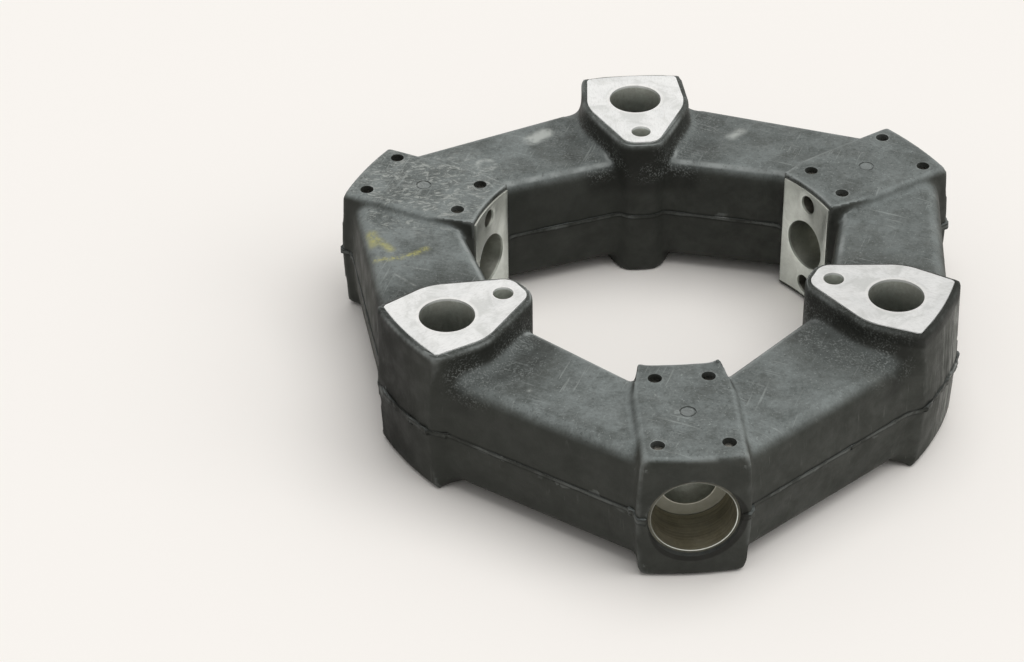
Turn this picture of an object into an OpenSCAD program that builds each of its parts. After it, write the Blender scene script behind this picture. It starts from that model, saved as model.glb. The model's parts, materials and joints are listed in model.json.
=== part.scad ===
// Flexible coupling: a moulded rubber ring of six legs that ties three axial
// aluminium inserts to three radial ones. Lengths are in millimetres.
// The coupling's axis is Z, and Z = 0 is the plane of the bare axial faces.

/* [Coupling] */
// Bolt circle of the axial screws
bolt_circle_d = 125; // [121:1:140]
// Diameter of the hub that the radial inserts seat on
hub_d = 95; // [91:1:101]
// Diameter over the outer faces of the radial blocks, at the parting plane
outer_d = 170; // [166:1:186]
// Height from the bare axial faces to the underside
coupling_h = 40; // [38:0.5:50]

/* [Screws and dowels] */
// Clearance hole for a screw
screw_hole_d = 13.5; // [11:0.1:14.5]
// Counterbore for a screw's head
head_bore_d = 20; // [17:0.1:20.5]
// Metal between a screw's head and the face it is bolted to
grip = 23; // [18:0.5:26]
// Dowel hole beside a screw hole
dowel_d = 5; // [3:0.1:6]
// Depth of a dowel hole
dowel_depth = 10; // [5:0.5:16]
// Distance from an axial screw hole to its dowel hole, towards the hub
axial_dowel_in = 16.1; // [14:0.1:17]
// Distance from a radial screw hole to its dowel holes, up and down
radial_dowel_up = 12.4; // [11:0.1:12.8]

/* [Axial inserts] */
// Metal outside the centre of the screw hole
axial_toe = 11.6; // [9:0.1:14]
// Metal inside the centre of the screw hole
axial_nose = 21.1; // [19.5:0.1:23]
// Width of the face at its outer edge
axial_toe_w = 24; // [18:0.1:25]
// Diameter of the round boss about the screw hole, the widest part of the face
axial_w = 25.5; // [25:0.1:30]
// Width of the face at its inner tip
axial_nose_w = 11; // [9:0.1:13]
// Distance from the screw hole in to the centre of the boss
axial_shoulder_in = 0.3; // [0:0.1:2]

/* [Radial inserts] */
// Height of a radial block, insert and rubber
radial_block_h = 35; // [34:0.5:38]
// Width of a radial block at its outer face, at mid height
radial_block_w = 27; // [25.5:0.1:32]
// Width of a radial block at the hub
radial_hub_w = 20; // [17:0.1:22]
// Length of the taper from the hub to the full width
radial_taper_l = 13; // [9:0.5:16]
// Corner radius of the insert's section
radial_insert_r = 3; // [1:0.1:4]

/* [Rubber skin] */
// Rubber over and under the inserts, round the axial inserts and over the screw heads
skin = 1.5; // [1:0.1:2.5]
// Rubber beside the radial inserts at their full width
side_skin = 2; // [1.5:0.1:2.4]
// Rubber beside the bare hub face of a radial insert
hub_lip = 0.9; // [0.6:0.1:2]
// How far the rubber stays behind the bare metal faces
lip_back = 0.4; // [0.2:0.1:1]
// Width of the conical rubber mouth round a counterbore
mouth_w = 0.9; // [0.4:0.1:1.6]
// Room between the counterbore and the rubber mouth
mouth_gap = 0.3; // [0.1:0.1:0.6]

/* [Legs] */
// Height of a leg
leg_h = 30.6; // [26:0.2:32]
// Radius of a leg's long edges
leg_edge_r = 4.5; // [2:0.1:7]
// Draft of a leg's faces, from the parting plane to an edge
leg_draft = 0.8; // [0.2:0.1:1.6]
// Step from an axial block's outer corner back to the leg
axial_step = 1.4; // [1:0.1:3]
// Step from a radial block's outer corner back to the leg
radial_step = 3.1; // [2:0.1:5]
// Step from an axial block's inner rib back to the leg
nose_step = 1.5; // [0.8:0.1:3]
// Step from a radial block's hub corner back to the leg
hub_step = 1.4; // [0.8:0.1:3]

/* [Moulding] */
// Draft of a block's faces, from the parting plane to an edge
block_draft = 0.8; // [0.2:0.1:1.2]
// Radius of a radial block's long edges
block_edge_r = 2.2; // [0.8:0.1:2.4]
// Radius of the top and bottom edges of the blocks' outer faces
face_edge_r = 1.6; // [0.8:0.1:2.4]
// Radius of a radial block's upright outer corners
block_corner_r = 1.4; // [0.6:0.1:2.5]
// Hole left by a mould pin that held a radial insert
pin_mark_d = 3.4; // [2:0.1:4.5]
// Distance of the inner pair of pin holes from the hub
inner_pin_in = 5.7; // [4:0.1:7]
// Spacing of the inner pair of pin holes
inner_pin_w = 12.7; // [9:0.1:13]
// Distance of the outer pair of pin holes from the outer face
outer_pin_in = 6.6; // [5:0.1:9]
// Spacing of the outer pair of pin holes
outer_pin_w = 16.5; // [12:0.1:17]
// Round mark of the ejector on a radial block's top
ejector_d = 3.6; // [2:0.1:6]
// Distance of the ejector mark from the outer face
ejector_in = 18.7; // [14:0.1:22]
// Depth of the ejector mark
ejector_depth = 0.3; // [0.1:0.1:0.6]

/* [Hidden] */
$fn = 64;

// Three blocks of each kind, the two kinds half a pitch apart
count = 3;
pitch = 360 / count;
first_axial = 90;
first_radial = first_axial + pitch / 2;

bolt_r = bolt_circle_d / 2;
hub_r = hub_d / 2;
face_r = outer_d / 2;
toe_r = bolt_r + axial_toe;
axial_out_r = toe_r + skin;
nose_in_r = bolt_r - axial_nose - skin;
axial_corner_r = 1.8;
axial_nose_r = 4;

z_base = -coupling_h;
z_mid = z_base + radial_block_h / 2;
z_radial_top = z_base + radial_block_h;
z_leg_top = z_mid + leg_h / 2;
z_leg_base = z_mid - leg_h / 2;

// Half widths of a radial block and of the insert in it, at the hub, at the taper's end and outside
block_half = radial_block_w / 2;
taper_half = block_half - block_draft;
hub_half = radial_hub_w / 2;
insert_half = block_half - side_skin;
insert_taper_half = insert_half - block_draft / 2;
insert_hub_half = hub_half - hub_lip;
insert_end_r = face_r - skin;
insert_h = radial_block_h - 2 * skin;
taper_end_r = hub_r + radial_taper_l;

// Radius of an edge that is only just softened, and how far a cutter runs past a face
soft_r = 0.8;
past = 1;
// How far the straight runs of a belt lie inside its pegs, so that runs and pegs cross cleanly
belt_sink = 0.02;
// Distance between a drafted profile's ridge and the outline that trims it, so that they don't touch
ridge_out = 0.3;
// Turn of a round edge on the outer faces, and its straight run on over the block's top
edge_turn = 60;
over_run = 5;
// Depth that a leg reaches into the blocks at its ends
leg_root = 2.3;

// Outlines are belts round pegs. A peg is [x, y, radius], and pegs run anticlockwise. A peg of
// radius 0 is a sharp corner.
function belt_run(a, b) =
    let (
        way = [b.x - a.x, b.y - a.y],
        normal = atan2(way.y, way.x) - acos((a.z - b.z) / norm(way))
    )
    [for (p = [a, b]) p + max(0, p.z - belt_sink) * [cos(normal), sin(normal), 0]];

// The pegs of one side and their mirror images, with any peg between them
function mirrored(half, between = []) =
    concat([for (i = [len(half) - 1 : -1 : 0]) [half[i].x, -half[i].y, half[i].z]], between, half);

module belt(pegs) {
    last = len(pegs) - 1;
    polygon([
        for (i = [0 : last])
            let (
                before = belt_run(pegs[i > 0 ? i - 1 : last], pegs[i])[1],
                after = belt_run(pegs[i], pegs[i < last ? i + 1 : 0])[0]
            )
            each pegs[i].z > 0 ? [[before.x, before.y], [after.x, after.y]] : [[after.x, after.y]]
    ]);
    for (p = pegs)
        if (p.z > 0)
            translate([p.x, p.y]) circle(r = p.z);
}

// Places in the frames of the blocks: X out along the block's radius, Y round the axis
module at_axial(i) {
    rotate([0, 0, first_axial + i * pitch]) children();
}

module at_radial(i) {
    rotate([0, 0, first_radial + i * pitch]) children();
}

// A prism along Z between two heights
module upright(low, high) {
    translate([0, 0, low]) linear_extrude(height = high - low) children();
}

// A profile of X and height, drawn out along Y over a length on both sides
module across(length) {
    rotate([90, 0, 0]) linear_extrude(height = length, center = true) children();
}

// A profile of Y and height, drawn out along X
module along(start, end) {
    translate([start, 0, 0]) rotate([90, 0, 90]) linear_extrude(height = end - start) children();
}

// A round cut along X
module bore_out(d, start, end) {
    translate([start, 0, z_mid]) rotate([0, 90, 0]) cylinder(d = d, h = end - start);
}

// Where a round corner lies, y off the middle, for a face turned about the coupling's axis to cut it
function corner_out(turned_r, corner_r, y) = sqrt(pow(turned_r - corner_r, 2) - pow(y, 2)) + ridge_out;

// The axial insert's outline, grown by the rubber round it: a boss, a nose towards the hub, and a
// toe that runs out past a face turned about the coupling's axis
module axial_outline(face = toe_r, grow = 0) {
    corner_r = axial_corner_r + grow;
    corner_y = axial_toe_w / 2 - axial_corner_r;
    belt(mirrored([
        [corner_out(face, corner_r, corner_y), corner_y, corner_r],
        [bolt_r - axial_shoulder_in, 0, axial_w / 2 + grow],
        [bolt_r - axial_nose + axial_nose_r, axial_nose_w / 2 - axial_nose_r, axial_nose_r + grow],
    ], [[face + past, 0, soft_r]]));
}

module axial_blank() {
    intersection() {
        upright(z_base + skin, 0) axial_outline();
        upright(z_base, past) circle(r = toe_r);
    }
}

module axial_insert(i) {
    color("#b9bab8") at_axial(i) difference() {
        axial_blank();
        translate([bolt_r, 0, z_base]) cylinder(d = screw_hole_d, h = coupling_h + past);
        translate([bolt_r, 0, z_base]) cylinder(d = head_bore_d, h = coupling_h - grip);
        translate([bolt_r - axial_dowel_in, 0, -dowel_depth]) cylinder(d = dowel_d, h = dowel_depth + past);
    }
}

// The radial insert before its hub face and holes are cut: a tapered plan and a section with
// round corners
module radial_blank() {
    section_y = insert_half - radial_insert_r;
    section_z = insert_h / 2 - radial_insert_r;
    lean = (insert_taper_half - insert_hub_half) / radial_taper_l;
    inside = radial_taper_l;
    intersection() {
        upright(z_base, 0) belt(mirrored([
            [insert_end_r - soft_r, insert_half + past, soft_r],
            [taper_end_r, insert_taper_half - soft_r, soft_r],
            [hub_r - inside, insert_hub_half - lean * inside - soft_r, soft_r],
        ]));
        along(hub_r - inside - past, insert_end_r + past) belt([
            [-section_y, z_mid - section_z, radial_insert_r],
            [section_y, z_mid - section_z, radial_insert_r],
            [section_y, z_mid + section_z, radial_insert_r],
            [-section_y, z_mid + section_z, radial_insert_r],
        ]);
    }
}

module radial_insert(i) {
    color("#a3a29c") at_radial(i) difference() {
        radial_blank();
        upright(z_base, 0) circle(r = hub_r);
        bore_out(screw_hole_d, 0, face_r);
        bore_out(head_bore_d, hub_r + grip, face_r);
        for (up = [-1, 1])
            translate([0, 0, up * radial_dowel_up]) bore_out(dowel_d, 0, hub_r + dowel_depth);
    }
}

// Rubber round an axial insert: the insert's outline, with a narrow rib towards the hub, and a turned
// outer face with draft to the parting plane
module axial_block() {
    intersection() {
        upright(z_base, -lip_back) axial_outline(axial_out_r + block_draft, skin);
        rotate_extrude() belt([
            [nose_in_r - past, z_base + soft_r, soft_r],
            [axial_out_r - face_edge_r, z_base + face_edge_r, face_edge_r],
            [axial_out_r + block_draft, z_mid, 0],
            [axial_out_r - soft_r, 0, soft_r],
            [nose_in_r - past, 0, soft_r],
        ]);
    }
}

// A ring turned about the coupling's axis: the outer face of the radial blocks, with draft to the
// parting plane and round edges that run out over the blocks' tops
module turned_face() {
    edge_x = face_r - block_draft - face_edge_r;
    edge_z = radial_block_h / 2 - face_edge_r;
    over_x = edge_x - over_run * sin(edge_turn);
    over_z = edge_z + over_run * cos(edge_turn);
    rotate_extrude() belt([
        [hub_r / 2, z_mid - over_z, face_edge_r],
        [over_x, z_mid - over_z, face_edge_r],
        [edge_x, z_mid - edge_z, face_edge_r],
        [face_r, z_mid, 0],
        [edge_x, z_mid + edge_z, face_edge_r],
        [over_x, z_mid + over_z, face_edge_r],
        [hub_r / 2, z_mid + over_z, face_edge_r],
    ]);
}

// Rubber round a radial insert: a tapered plan, a section with draft to the parting plane, and
// the turned outer face
module radial_block() {
    edge_y = block_half - block_draft - block_edge_r;
    edge_z = radial_block_h / 2 - block_edge_r;
    corner_y = block_half - block_corner_r;
    corner_x = corner_out(face_r, block_corner_r, corner_y);
    lean = (taper_half - hub_half) / radial_taper_l;
    inside = radial_taper_l;
    intersection() {
        upright(z_base - past, z_radial_top + past) belt(mirrored([
            [corner_x, corner_y, block_corner_r],
            [taper_end_r, taper_half - soft_r, soft_r],
            [hub_r - inside, hub_half - lean * inside - soft_r, soft_r],
        ], [[face_r + past, 0, soft_r]]));
        along(0, face_r + 3 * past) belt([
            [-edge_y, z_mid - edge_z, block_edge_r],
            [edge_y, z_mid - edge_z, block_edge_r],
            [block_half + ridge_out, z_mid, 0],
            [edge_y, z_mid + edge_z, block_edge_r],
            [-edge_y, z_mid + edge_z, block_edge_r],
            [-block_half - ridge_out, z_mid, 0],
        ]);
        turned_face();
    }
}

// A point beside a radial block, in the frame of the axial block half a pitch before it
function beside_radial(r, beside) =
    let (turn = pitch / 2)
    [r * cos(turn) + beside * sin(turn), r * sin(turn) - beside * cos(turn)];

// A slab behind a leg's face, which runs from a to b with the slab on its left
module leg_slab(a, b) {
    thick = face_r - nose_in_r;
    edge_in = leg_draft + leg_edge_r;
    translate([(a.x + b.x) / 2, (a.y + b.y) / 2, 0])
        rotate([0, 0, atan2(b.y - a.y, b.x - a.x) - 90])
            across(2 * face_r) belt([
                [-thick, z_leg_base + soft_r, soft_r],
                [-edge_in, z_leg_base + leg_edge_r, leg_edge_r],
                [0, z_mid, 0],
                [-edge_in, z_leg_top - leg_edge_r, leg_edge_r],
                [-thick, z_leg_top - soft_r, soft_r],
            ]);
}

// The leg from an axial block to the next radial one: an outer and an inner face, each with
// draft and round edges, and ends that lie inside the blocks
module leg() {
    toe_half = axial_toe_w / 2 + skin;
    nose_half = axial_nose_w / 2 + skin;
    hub_corner_x = sqrt(pow(hub_r + lip_back, 2) - pow(hub_half, 2));
    face_corner_x = sqrt(pow(face_r, 2) - pow(block_half, 2));
    toe_corner_x = sqrt(pow(axial_out_r, 2) - pow(toe_half, 2));
    outer_start = [toe_corner_x - axial_step, toe_half];
    outer_end = beside_radial(face_corner_x - radial_step, block_half);
    inner_start = [nose_in_r + nose_step, nose_half];
    inner_end = beside_radial(hub_corner_x + hub_step, hub_half);
    intersection() {
        leg_slab(outer_start, outer_end);
        leg_slab(inner_end, inner_start);
        upright(z_base, 0) polygon([
            [nose_in_r - leg_root, 0],
            [axial_out_r + leg_root, toe_half - leg_root],
            beside_radial(face_r + leg_root, block_half - leg_root),
            beside_radial(hub_r - leg_root, hub_half - leg_root),
        ]);
    }
}

// The conical mouth in the rubber over a counterbore, from inside the insert's end out past the skin
module mouth() {
    inner_d = head_bore_d + 2 * mouth_gap;
    taper = 2 * mouth_w / skin;
    translate([0, 0, -past])
        cylinder(d1 = inner_d - taper * past, d2 = inner_d + taper * (skin + past), h = skin + 2 * past);
}

// A hole through the rubber above and below a radial insert, left by a pair of mould pins
module pin_hole(x, y) {
    translate([x, y, z_base - past]) cylinder(d = pin_mark_d, h = radial_block_h + 2 * past);
}

// What the rubber round a radial insert leaves open: the insert's own space, the mouth of
// the counterbore, the mould-pin holes and the ejector's mark
module radial_openings() {
    radial_blank();
    translate([insert_end_r, 0, z_mid]) rotate([0, 90, 0]) mouth();
    for (side = [-1, 1]) {
        pin_hole(hub_r + inner_pin_in, side * inner_pin_w / 2);
        pin_hole(face_r - outer_pin_in, side * outer_pin_w / 2);
    }
    translate([face_r - ejector_in, 0, z_radial_top - ejector_depth])
        cylinder(d = ejector_d, h = ejector_depth + past);
}

// What the rubber round an axial insert leaves open: the insert's own space and the mouth below
module axial_openings() {
    axial_blank();
    translate([bolt_r, 0, z_base + skin]) mirror([0, 0, 1]) mouth();
}

module rubber_ring() {
    color("#2b2c2d") difference() {
        union() {
            for (i = [0 : count - 1]) {
                at_axial(i) axial_block();
                at_axial(i) leg();
                at_axial(i) mirror([0, 1, 0]) leg();
                at_radial(i) radial_block();
            }
        }
        for (i = [0 : count - 1]) {
            at_axial(i) axial_openings();
            at_radial(i) radial_openings();
            at_radial(i) hub_cut();
        }
    }
}

// The hub's round seat, cut out of one radial block
module hub_cut() {
    intersection() {
        upright(z_base - past, 0) circle(r = hub_r + lip_back);
        translate([hub_r / 2, -hub_half, z_base - past])
            cube([hub_r, radial_hub_w, coupling_h]);
    }
}

rubber_ring();
axial_insert(0);  // axial_insert_1
axial_insert(1);  // axial_insert_2
axial_insert(2);  // axial_insert_3
radial_insert(0);  // radial_insert_1
radial_insert(1);  // radial_insert_2
radial_insert(2);  // radial_insert_3
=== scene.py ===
import json
import math
from types import SimpleNamespace

import bpy
import numpy as np
from mathutils import Matrix, Vector

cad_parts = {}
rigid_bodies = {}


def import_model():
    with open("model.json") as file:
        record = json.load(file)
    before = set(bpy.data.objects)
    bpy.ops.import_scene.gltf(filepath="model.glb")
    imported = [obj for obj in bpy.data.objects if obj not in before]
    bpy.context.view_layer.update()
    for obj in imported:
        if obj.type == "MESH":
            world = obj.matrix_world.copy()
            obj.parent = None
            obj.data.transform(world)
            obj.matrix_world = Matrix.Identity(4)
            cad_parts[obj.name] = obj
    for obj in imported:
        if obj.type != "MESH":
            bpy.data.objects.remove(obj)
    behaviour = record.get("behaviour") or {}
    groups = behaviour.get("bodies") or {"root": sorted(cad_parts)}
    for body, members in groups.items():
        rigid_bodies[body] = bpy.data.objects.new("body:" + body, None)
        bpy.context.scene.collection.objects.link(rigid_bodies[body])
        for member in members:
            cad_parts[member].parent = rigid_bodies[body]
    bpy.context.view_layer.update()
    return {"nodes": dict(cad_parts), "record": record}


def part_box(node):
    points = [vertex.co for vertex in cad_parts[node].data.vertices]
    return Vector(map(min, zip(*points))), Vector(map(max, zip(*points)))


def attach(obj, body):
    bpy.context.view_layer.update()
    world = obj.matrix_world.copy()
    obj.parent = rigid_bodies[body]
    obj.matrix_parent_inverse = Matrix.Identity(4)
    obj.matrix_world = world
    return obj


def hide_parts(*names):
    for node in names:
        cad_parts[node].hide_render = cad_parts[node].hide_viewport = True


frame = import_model()

MM = 0.001
mount_sizes = {mount["name"]: mount["dims"] for mount in frame["record"]["mounts"]}
front_low, front_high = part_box("radial_insert_2")

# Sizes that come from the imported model
BOLT_R = mount_sizes["axial_bolts"]["pcd_mm"] / 2 * MM
SCREW_HOLE_R = mount_sizes["axial_bolts"]["hole_r_mm"] * MM
DOWEL_R = mount_sizes["axial_dowels"]["pcd_mm"] / 2 * MM
DOWEL_HOLE_R = mount_sizes["axial_dowels"]["hole_r_mm"] * MM
HUB_R = mount_sizes["hub_seat"]["r_mm"] * MM
SEAT_R = HUB_R + mount_sizes["radial_bore_2"]["length_mm"] * MM
MID_Z = (front_low.z + front_high.z) / 2
FLOOR_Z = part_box("rubber_ring")[0].z
BLOCK_TOP = 2 * MID_Z - FLOOR_Z
INSERT_END_R = -front_low.y
AXIAL_FACE_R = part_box("axial_insert_1")[1].y

# Layout of the blocks, in degrees round the axis, and how bright each axial face is
AXIAL_ANGLES = (90, 210, 330)
AXIAL_TONES = (1.0, 0.96, 0.86)
AXIAL_MIDDLE_R = BOLT_R - 4 * MM
RADIAL_ANGLES = (150, 270, 30)
FRONT_ANGLE = 270
INSERT_NUMBERS = (1, 2, 3)

# Sizes of the moulded rubber, read off the photograph
LIP_BACK = 0.4 * MM
MOUTH_R = 11.1 * MM
MOUTH_NARROW_R = MOUTH_R - 0.8 * MM
MOUTH_WIDE_R = MOUTH_R + 0.9 * MM
MOUTH_FACE = 84.4 * MM
MOUTH_DEEP = 2 * MM
PIN_R = 1.7 * MM
PIN_FILL_R = 2 * MM
PIN_PLACES = ((53.2 * MM, 6.35 * MM), (78.4 * MM, 8.25 * MM))
EJECTOR_R = 1.8 * MM
EJECTOR_AT = 66.3 * MM
EJECTOR_DEEP = 0.12 * MM
GROOVE_R = 0.22 * MM
FLASH_H = 0.5 * MM
FLASH_OUT = 0.4 * MM
TORN_FLASH_OUT = 1.0 * MM
TAG_R = 1.1 * MM
TAG_TIP_R = 0.8 * MM
TAG_RISE = Vector((0.2, 0, 3.6)) * MM
TAG_IN = 1.4 * MM
TAG_ASIDE = 8.9 * MM
TAG_SUNK = 2 * MM

# Where inside corners are smoothed: on the legs, and most of all round the axial blocks
LEG_ZONE_TOP = -3 * MM
LEG_ZONE_R = HUB_R + 1.5 * MM
AXIAL_ZONE_R = 26 * MM
CORNER_HOLLOW = 0.02 * MM

# Sizes of the machined metal: the counterbores, the broken edges and the step of the turning lines
HEAD_BORE_R = 10 * MM
AXIAL_EDGE = 0.1 * MM
RADIAL_EDGE = 0.12 * MM
TURNING_STEP = 0.45 * MM

# Cutters, how far they run past what they cut, and the fineness of the meshes
PAST = 1 * MM
WEDGE_SIZE = (10 * MM, 22 * MM, 50 * MM)
TOP_CUT_SIZE = (200 * MM, 200 * MM, 10 * MM)
VOXEL = 0.75 * MM
MERGE_STEP = 0.002 * MM
RUBBER_TRIANGLES = 150000


# Building blocks for meshes
def turned(angle, r, t=0.0, z=0.0):
    """A point at radius r along a block's own radius, t round the axis from it, and height z."""
    a = math.radians(angle)
    return Vector((r * math.cos(a) - t * math.sin(a), r * math.sin(a) + t * math.cos(a), z))


def select_only(*pieces):
    bpy.ops.object.select_all(action="DESELECT")
    for piece in pieces:
        piece.select_set(True)
    bpy.context.view_layer.objects.active = pieces[0]


def whole_mesh_in_edit(piece):
    select_only(piece)
    bpy.ops.object.mode_set(mode="EDIT")
    bpy.ops.mesh.select_mode(type="VERT")
    bpy.ops.mesh.select_all(action="SELECT")


def leave_edit():
    bpy.ops.object.mode_set(mode="OBJECT")


def settled():
    """The new primitive, with its place, turn and size put into its mesh."""
    bpy.ops.object.transform_apply(location=True, rotation=True, scale=True)
    return bpy.context.object


def merged_copy(node, name):
    """A copy of a CAD node's mesh, with its loose triangles joined up."""
    piece = bpy.data.objects.new(name, frame["nodes"][node].data.copy())
    bpy.context.scene.collection.objects.link(piece)
    piece.data.materials.clear()
    whole_mesh_in_edit(piece)
    bpy.ops.mesh.customdata_custom_splitnormals_clear()
    bpy.ops.mesh.remove_doubles(threshold=MERGE_STEP)
    leave_edit()
    return piece


def rod(radius, start, end, sides=96, end_radius=None):
    """A round bar, or a cone, between two points."""
    way = end - start
    bpy.ops.object.select_all(action="DESELECT")
    bpy.ops.mesh.primitive_cone_add(
        vertices=sides,
        radius1=radius,
        radius2=radius if end_radius is None else end_radius,
        depth=way.length,
        location=(start + end) / 2,
        rotation=way.to_track_quat("Z", "Y").to_euler(),
    )
    return settled()


def box(middle, size, angle=0):
    """A box, turned about the axis so that its first side lies along a block's own radius."""
    bpy.ops.object.select_all(action="DESELECT")
    turn = (0, 0, math.radians(angle))
    bpy.ops.mesh.primitive_cube_add(size=1, location=middle, rotation=turn, scale=size)
    return settled()


def joined(pieces, name):
    select_only(*pieces)
    if len(pieces) > 1:
        bpy.ops.object.join()
    piece = bpy.context.object
    piece.name = name
    return piece


def with_modifier(piece, kind, **settings):
    """Adds a modifier, sets it and applies it."""
    select_only(piece)
    bpy.ops.object.modifier_add(type=kind)
    modifier = piece.modifiers[-1]
    for key, value in settings.items():
        setattr(modifier, key, value)
    bpy.ops.object.modifier_apply(modifier=modifier.name)


def combine(piece, tool, operation):
    """Adds a tool to a piece or cuts it out, and removes the tool."""
    before = len(piece.data.vertices)
    with_modifier(piece, "BOOLEAN", object=tool, operation=operation, solver="MANIFOLD")
    if len(piece.data.vertices) == before:
        raise RuntimeError(f"{tool.name} changed nothing on {piece.name}")
    bpy.data.objects.remove(tool)


def vertex_places(mesh):
    places = np.empty(len(mesh.vertices) * 3, np.float32)
    mesh.vertices.foreach_get("co", places)
    return places.reshape(-1, 3)


def hollowness(mesh):
    """How far each vertex lies below the mean of its neighbours, which is large in an inside corner."""
    places = vertex_places(mesh)
    normals = np.empty(len(mesh.vertices) * 3, np.float32)
    mesh.vertices.foreach_get("normal", normals)
    edges = np.empty(len(mesh.edges) * 2, np.int32)
    mesh.edges.foreach_get("vertices", edges)
    edges = edges.reshape(-1, 2)
    total = np.zeros_like(places)
    count = np.zeros(len(places))
    for near, far in ((0, 1), (1, 0)):
        np.add.at(total, edges[:, near], places[edges[:, far]])
        np.add.at(count, edges[:, near], 1)
    step = total / count[:, None] - places
    return (step * normals.reshape(-1, 3)).sum(1)


def select_vertices(mesh, chosen):
    mesh.polygons.foreach_set("select", np.zeros(len(mesh.polygons), bool))
    mesh.edges.foreach_set("select", np.zeros(len(mesh.edges), bool))
    mesh.vertices.foreach_set("select", chosen)


def dress(piece, node, finish, sharp_angle):
    """Shades a piece, gives it its material and puts it in the place of its CAD node."""
    select_only(piece)
    bpy.ops.object.shade_smooth_by_angle(angle=math.radians(sharp_angle))
    piece.data.materials.clear()
    piece.data.materials.append(finish)
    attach(piece, "root")
    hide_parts(node)


# The rubber ring
def pin_places(angle, z):
    """Where the four mould pins of a radial block stand, at one height."""
    return [turned(angle, r, side * t, z) for r, t in PIN_PLACES for side in (-1, 1)]


def rubber_lump():
    """The CAD ring with its inserts in place and its round holes filled, as one lump."""
    pieces = [merged_copy("rubber_ring", "rubber")]
    for number in INSERT_NUMBERS:
        pieces.append(merged_copy(f"axial_insert_{number}", "fill"))
        pieces.append(merged_copy(f"radial_insert_{number}", "fill"))
    for angle in AXIAL_ANGLES:
        low, high = (turned(angle, BOLT_R, 0, z) for z in (FLOOR_Z, -LIP_BACK))
        pieces.append(rod(MOUTH_R, low, high))
    for angle in RADIAL_ANGLES:
        start, end = (turned(angle, r, 0, MID_Z) for r in (HUB_R + LIP_BACK, MOUTH_FACE))
        pieces.append(rod(MOUTH_R, start, end))
        for up in (-1, 1):
            face_z = MID_Z + up * (BLOCK_TOP - MID_Z)
            for start, end in zip(pin_places(angle, MID_Z), pin_places(angle, face_z)):
                pieces.append(rod(PIN_FILL_R, start, end, 24))
    tag = turned(FRONT_ANGLE, HUB_R + TAG_IN, TAG_ASIDE, BLOCK_TOP - TAG_SUNK)
    pieces.append(rod(TAG_R, tag, tag + TAG_RISE, 16, TAG_TIP_R))
    return joined(pieces, "rubber_moulding")


def smooth_corners(piece, chosen, spread, repeat):
    """Smooths the chosen vertices and some rings of neighbours round them."""
    select_vertices(piece.data, chosen)
    bpy.ops.object.mode_set(mode="EDIT")
    bpy.ops.mesh.select_mode(type="VERT")
    for _ in range(spread):
        bpy.ops.mesh.select_more()
    bpy.ops.mesh.vertices_smooth(factor=0.5, repeat=repeat)
    leave_edit()


def round_off(lump):
    """Soft outer edges all over, wide fillets by the axial blocks and narrow ones by the radial blocks."""
    with_modifier(lump, "REMESH", mode="VOXEL", voxel_size=VOXEL)
    with_modifier(lump, "SMOOTH", factor=0.5, iterations=4)
    places = vertex_places(lump.data)
    radius = np.hypot(places[:, 0], places[:, 1])
    on_leg = (places[:, 2] < LEG_ZONE_TOP) & (radius > LEG_ZONE_R)
    in_corner = on_leg & (hollowness(lump.data) > CORNER_HOLLOW)
    by_axial = np.zeros(len(places), bool)
    for angle in AXIAL_ANGLES:
        middle = turned(angle, AXIAL_MIDDLE_R)
        by_axial |= np.hypot(places[:, 0] - middle.x, places[:, 1] - middle.y) < AXIAL_ZONE_R
    smooth_corners(lump, in_corner & by_axial, spread=4, repeat=26)
    smooth_corners(lump, in_corner & ~by_axial, spread=1, repeat=3)


def seam_slab(lump):
    """A thin slice of the lump at mid height."""
    slab = bpy.data.objects.new("flash", lump.data.copy())
    bpy.context.scene.collection.objects.link(slab)
    whole_mesh_in_edit(slab)
    for up in (-1, 1):
        bpy.ops.mesh.select_all(action="SELECT")
        bpy.ops.mesh.bisect(
            plane_co=(0, 0, MID_Z + up * FLASH_H / 2),
            plane_no=(0, 0, up),
            use_fill=True,
            clear_outer=True,
        )
    bpy.ops.mesh.select_all(action="SELECT")
    bpy.ops.mesh.quads_convert_to_tris()
    leave_edit()
    return slab


def on_outer_faces(mesh):
    """Which vertices lie on the blocks' outer faces, or close to them."""
    places = vertex_places(mesh)
    limits = [(angle, AXIAL_FACE_R - 1.5 * MM) for angle in AXIAL_ANGLES]
    limits += [(angle, INSERT_END_R - 3.5 * MM) for angle in RADIAL_ANGLES]
    chosen = np.zeros(len(places), bool)
    for angle, limit in limits:
        out = turned(angle, 1)
        chosen |= places[:, 0] * out.x + places[:, 1] * out.y > limit
    return chosen


def clouds(name, size):
    """A cloudy texture for rough edges."""
    texture = bpy.data.textures.new(name, "CLOUDS")
    texture.noise_scale = size
    texture.noise_depth = 3
    return texture


def ragged_edge(slab, name, size, out, level, **where):
    """Pushes a slice's edge out unevenly, in patches of the given size."""
    with_modifier(
        slab,
        "DISPLACE",
        texture=clouds(name, size),
        texture_coords="LOCAL",
        strength=2 * out,
        mid_level=level,
        **where,
    )


def flash_line(lump):
    """The thin uneven seam where the two halves of the mould met, torn off on the outer faces."""
    slab = seam_slab(lump)
    torn = slab.vertex_groups.new(name="torn")
    torn.add(np.flatnonzero(on_outer_faces(slab.data)).tolist(), 1.0, "REPLACE")
    ragged_edge(slab, "ragged", 5 * MM, FLASH_OUT, 0.15)
    ragged_edge(slab, "torn_off", 2.5 * MM, TORN_FLASH_OUT, 0.3, vertex_group="torn")
    combine(lump, slab, "UNION")


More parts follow.
